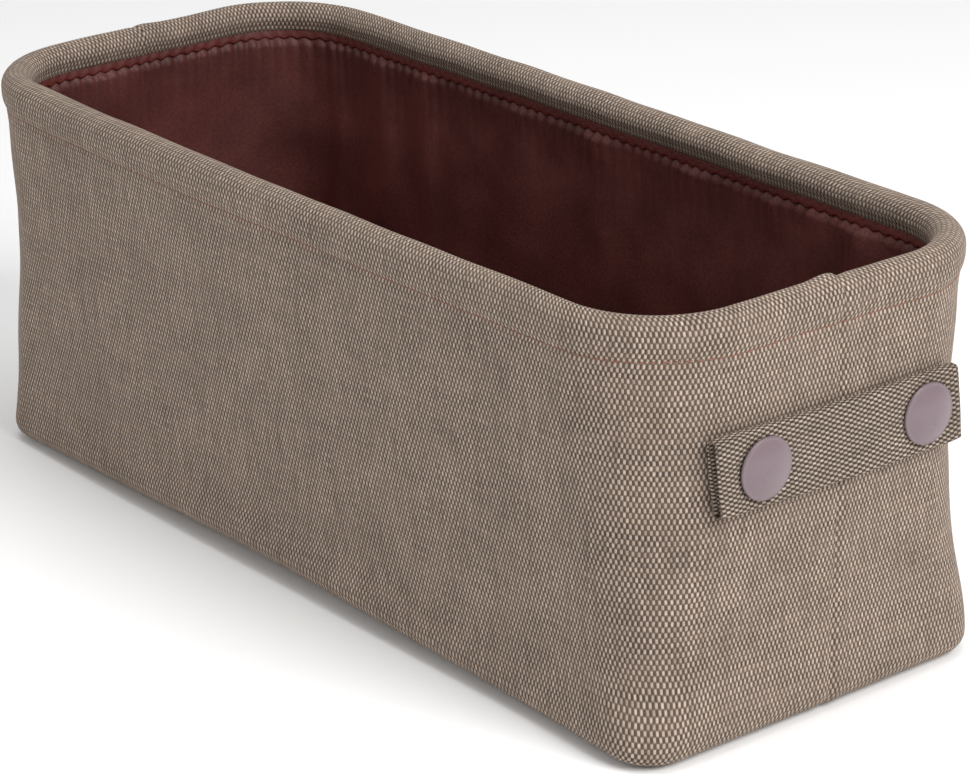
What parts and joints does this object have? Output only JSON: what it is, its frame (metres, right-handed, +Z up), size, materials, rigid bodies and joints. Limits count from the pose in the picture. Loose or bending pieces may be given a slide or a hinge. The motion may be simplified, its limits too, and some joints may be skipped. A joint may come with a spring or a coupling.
{
  "type": "fabric storage bin",
  "caption": "Long narrow open-topped canvas storage bin with a lining, a rolled wired rim, topstitching and a riveted strap handle on each short end.",
  "frame": {"origin": "middle of the flat base, on the surface that the bin stands on", "axes": "+Z up, +X along the bin towards the right end, +Y across it towards the back"},
  "size_m": [0.3628, 0.1454, 0.134],
  "materials": {
    "canvas": "coarse plain weave, matt",
    "strap_canvas": "coarse plain weave, matt",
    "lining": "smooth coated weave, soft sheen",
    "hem": "smooth coated weave, soft sheen",
    "foam": "open-cell foam sheet",
    "board": "grey chipboard",
    "wire": "drawn spring wire",
    "ferrule": "crimped",
    "topstitch_thread": "spun polyester thread",
    "lining_thread": "spun polyester thread",
    "seam_thread": "spun polyester thread",
    "rivet_cap_paint": "satin taupe lacquer on brass",
    "rivet_steel": "plated steel"
  },
  "bodies": {
    "bin": {"outer_canvas": "canvas", "foam_base_pad": "foam", "foam_wall_front": "foam", "foam_wall_back": "foam", "base_board": "board", "lining": "lining", "lining_hem": "hem", "rim_wire": "wire", "rim_wire_ferrule": "ferrule", "rim_topstitch": "topstitch_thread", "lining_stitch": "lining_thread", "end_seam_thread_right": "seam_thread", "end_seam_thread_left": "seam_thread", "base_seam_thread_right": "seam_thread", "base_seam_thread_left": "seam_thread", "handle_right_tab_front": "strap_canvas", "handle_right_tab_back": "strap_canvas", "rivet_cap_right_1": "rivet_cap_paint", "rivet_post_right_1": "rivet_steel", "rivet_washer_right_1": "rivet_steel", "rivet_cap_right_2": "rivet_cap_paint", "rivet_post_right_2": "rivet_steel", "rivet_washer_right_2": "rivet_steel", "handle_left_tab_front": "strap_canvas", "handle_left_tab_back": "strap_canvas", "rivet_cap_left_1": "rivet_cap_paint", "rivet_post_left_1": "rivet_steel", "rivet_washer_left_1": "rivet_steel", "rivet_cap_left_2": "rivet_cap_paint", "rivet_post_left_2": "rivet_steel", "rivet_washer_left_2": "rivet_steel"},
    "grip_right": {"handle_right_grip": "strap_canvas"},
    "grip_left": {"handle_left_grip": "strap_canvas"}
  },
  "joints": [
    {"name": "handle_right_pull", "type": "slide", "parent": "bin", "child": "grip_right", "axis": [1, 0, 0], "range_m": [0, 0.01], "stiffness_N_per_m": 600},
    {"name": "handle_left_pull", "type": "slide", "parent": "bin", "child": "grip_left", "axis": [-1, 0, 0], "range_m": [0, 0.01], "stiffness_N_per_m": 600}
  ]
}
